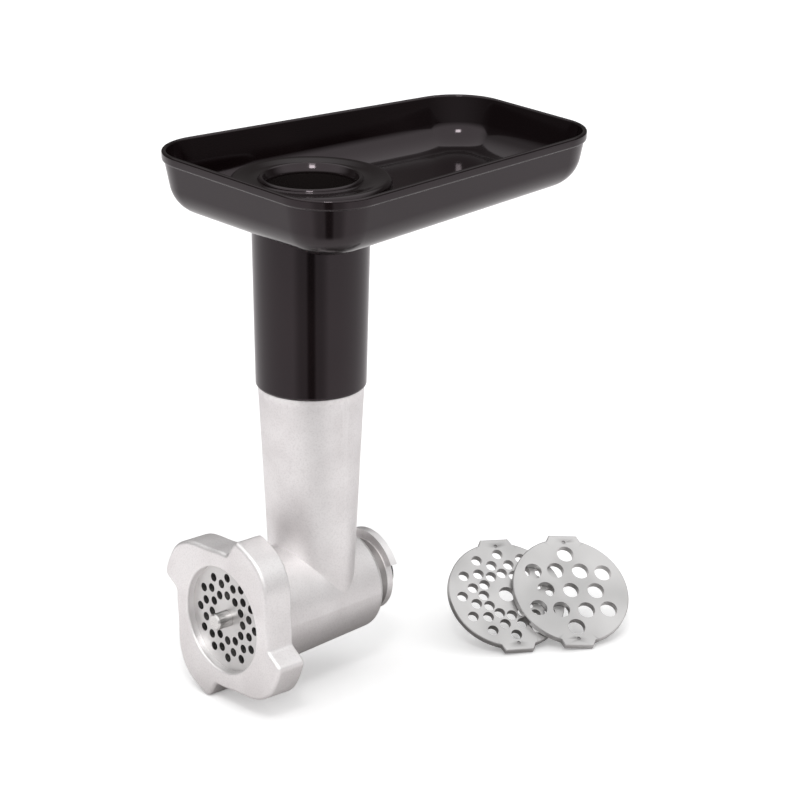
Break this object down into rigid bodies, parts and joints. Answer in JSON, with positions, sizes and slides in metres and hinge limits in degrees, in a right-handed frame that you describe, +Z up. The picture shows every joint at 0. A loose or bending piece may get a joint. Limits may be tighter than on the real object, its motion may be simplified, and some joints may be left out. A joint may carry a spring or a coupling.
{
  "type": "stand mixer mincer attachment",
  "caption": "Stand mixer meat mincer: cast barrel with screw, knife, perforated plate and lobed ring nut, under a black feed chute and tray, with spare plates beside it.",
  "frame": {"origin": "on the barrel axis, in the plane of the rear shoulder that seats against the mixer's hub", "axes": "+Y along the barrel axis towards the mixer, +Z up the feed tube, the nose and ring nut towards -Y"},
  "size_m": [0.1414, 0.2282, 0.2677],
  "materials": {
    "cast_aluminium": "satin, blasted casting",
    "screw_casting": "as-cast, tumbled",
    "turned_steel": "fine turned",
    "knife_steel": "ground",
    "plate_steel": "satin ground face",
    "black_gloss": "polished moulding",
    "bush_bronze": "sintered bronze",
    "seal_rubber": "matte",
    "washer_nylon": "natural nylon",
    "coupling_nylon": "glass-filled nylon"
  },
  "bodies": {
    "housing": {"housing": "cast_aluminium", "rear_bush": "bush_bronze", "shaft_seal": "seal_rubber", "thrust_washer": "washer_nylon"},
    "screw": {"auger_screw": "screw_casting", "auger_stud": "turned_steel", "drive_coupling": "coupling_nylon", "coupling_screw": "turned_steel", "cross_knife": "knife_steel"},
    "plate": {"fine_plate": "plate_steel"},
    "nut": {"ring_nut": "cast_aluminium"},
    "tray": {"hopper_tray": "black_gloss", "feed_chute": "black_gloss"},
    "medium": {"medium_plate": "plate_steel"},
    "coarse": {"coarse_plate": "plate_steel"}
  },
  "joints": [
    {"name": "screw_spin", "type": "hinge", "parent": "housing", "child": "screw", "pos_m": [0, 0, 0], "axis": [0, 1, 0], "continuous": true},
    {"name": "plate_draw", "type": "slide", "parent": "housing", "child": "plate", "axis": [0, -1, 0], "range_m": [0, 0.0091]},
    {"name": "nut_turn", "type": "hinge", "parent": "plate", "child": "nut", "pos_m": [0, 0, 0], "axis": [0, -1, 0], "range_deg": [0, 1080]},
    {"name": "tray_lift", "type": "slide", "parent": "housing", "child": "tray", "axis": [0, 0, 1], "range_m": [0, 0.06]},
    {"name": "medium_slide", "type": "slide", "parent": "housing", "child": "medium", "axis": [-0.7485, 0.2784, 0.6018], "range_m": [0, 0.05]},
    {"name": "coarse_slide", "type": "slide", "parent": "housing", "child": "coarse", "axis": [-0.7485, 0.2784, 0.6018], "range_m": [0, 0.05]}
  ],
  "couplings": [
    {"joint": "plate_draw", "follows": "nut_turn", "m_per_rad": 0.00047746}
  ]
}
